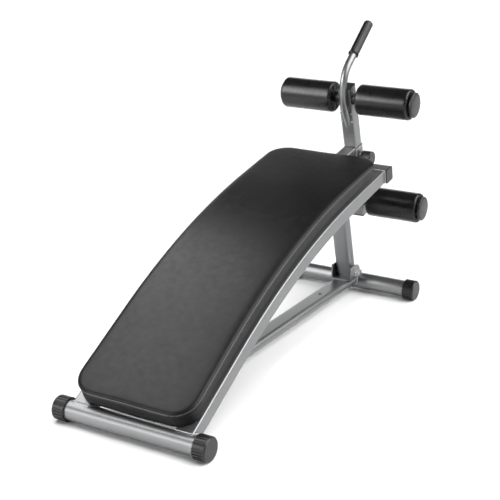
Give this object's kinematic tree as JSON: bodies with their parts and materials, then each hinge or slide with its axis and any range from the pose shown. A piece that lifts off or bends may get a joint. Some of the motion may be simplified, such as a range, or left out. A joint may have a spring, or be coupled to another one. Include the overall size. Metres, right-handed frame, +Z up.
{
  "type": "decline sit up bench",
  "caption": "Decline sit up bench with a curved black pad on silver rails, foam leg rollers on an adjustable post, and a crunch handle.",
  "frame": {"origin": "on the floor, under the middle of the bench's footprint", "axes": "+Z up; +Y from the low end to the leg rollers; +X to the right when looking along +Y"},
  "size_m": [0.434, 1.2836, 0.8277],
  "materials": {
    "silver_paint": "silver grey metallic powder coat, semi gloss",
    "black_plastic": "moulded, satin",
    "pad_vinyl": "fine grained synthetic leather over foam, satin",
    "roller_vinyl": "smooth synthetic leather over foam, gathered at the ends",
    "grip_rubber": "soft ribbed rubber",
    "zinc": "bright zinc plated",
    "board": "bare plywood"
  },
  "bodies": {
    "bench": {"front_foot": "silver_paint", "rear_foot": "silver_paint", "front_cap_left": "black_plastic", "front_cap_right": "black_plastic", "rear_cap_left": "black_plastic", "rear_cap_right": "black_plastic", "rail_left": "silver_paint", "rail_right": "silver_paint", "cross_beam": "silver_paint", "beam_cap_left": "black_plastic", "beam_cap_right": "black_plastic", "arm": "silver_paint", "post_sleeve": "silver_paint", "pin_bush": "zinc", "base_tube": "silver_paint", "rear_leg": "silver_paint", "leg_shoe": "silver_paint", "leg_bolt": "zinc", "leg_nut": "zinc", "pad_board": "board", "pad_cushion": "pad_vinyl", "pad_screws_left": "zinc", "pad_screws_right": "zinc"},
    "leg_holder": {"post": "silver_paint", "post_top_plug": "black_plastic", "post_bottom_plug": "black_plastic", "upper_axle_tube": "silver_paint", "lower_axle_tube": "silver_paint", "upper_collars": "black_plastic", "lower_collars": "black_plastic", "end_cap_upper_left": "black_plastic", "end_cap_upper_right": "black_plastic", "end_cap_lower_left": "black_plastic", "end_cap_lower_right": "black_plastic", "handle_bar": "silver_paint", "handle_grip": "grip_rubber", "handle_bolts": "zinc"},
    "roller_ul": {"roller_upper_left": "roller_vinyl"},
    "roller_ur": {"roller_upper_right": "roller_vinyl"},
    "roller_ll": {"roller_lower_left": "roller_vinyl"},
    "roller_lr": {"roller_lower_right": "roller_vinyl"},
    "pin": {"pull_pin": "zinc", "knob": "black_plastic"}
  },
  "joints": [
    {"name": "post_slide", "type": "slide", "parent": "bench", "child": "leg_holder", "axis": [0, -0.2857, 0.9583], "range_m": [0, 0.075]},
    {"name": "pin_pull", "type": "slide", "parent": "bench", "child": "pin", "axis": [1, 0, 0], "range_m": [-0.0055, 0], "stiffness_N_per_m": 900, "springref_m": -0.009},
    {"name": "roller_ul_spin", "type": "hinge", "parent": "leg_holder", "child": "roller_ul", "pos_m": [0, 0.49769, 0.61483], "axis": [1, 0, 0], "continuous": true},
    {"name": "roller_ur_spin", "type": "hinge", "parent": "leg_holder", "child": "roller_ur", "pos_m": [0, 0.49769, 0.61483], "axis": [1, 0, 0], "continuous": true},
    {"name": "roller_ll_spin", "type": "hinge", "parent": "leg_holder", "child": "roller_ll", "pos_m": [0, 0.59682, 0.28229], "axis": [1, 0, 0], "continuous": true},
    {"name": "roller_lr_spin", "type": "hinge", "parent": "leg_holder", "child": "roller_lr", "pos_m": [0, 0.59682, 0.28229], "axis": [1, 0, 0], "continuous": true}
  ]
}
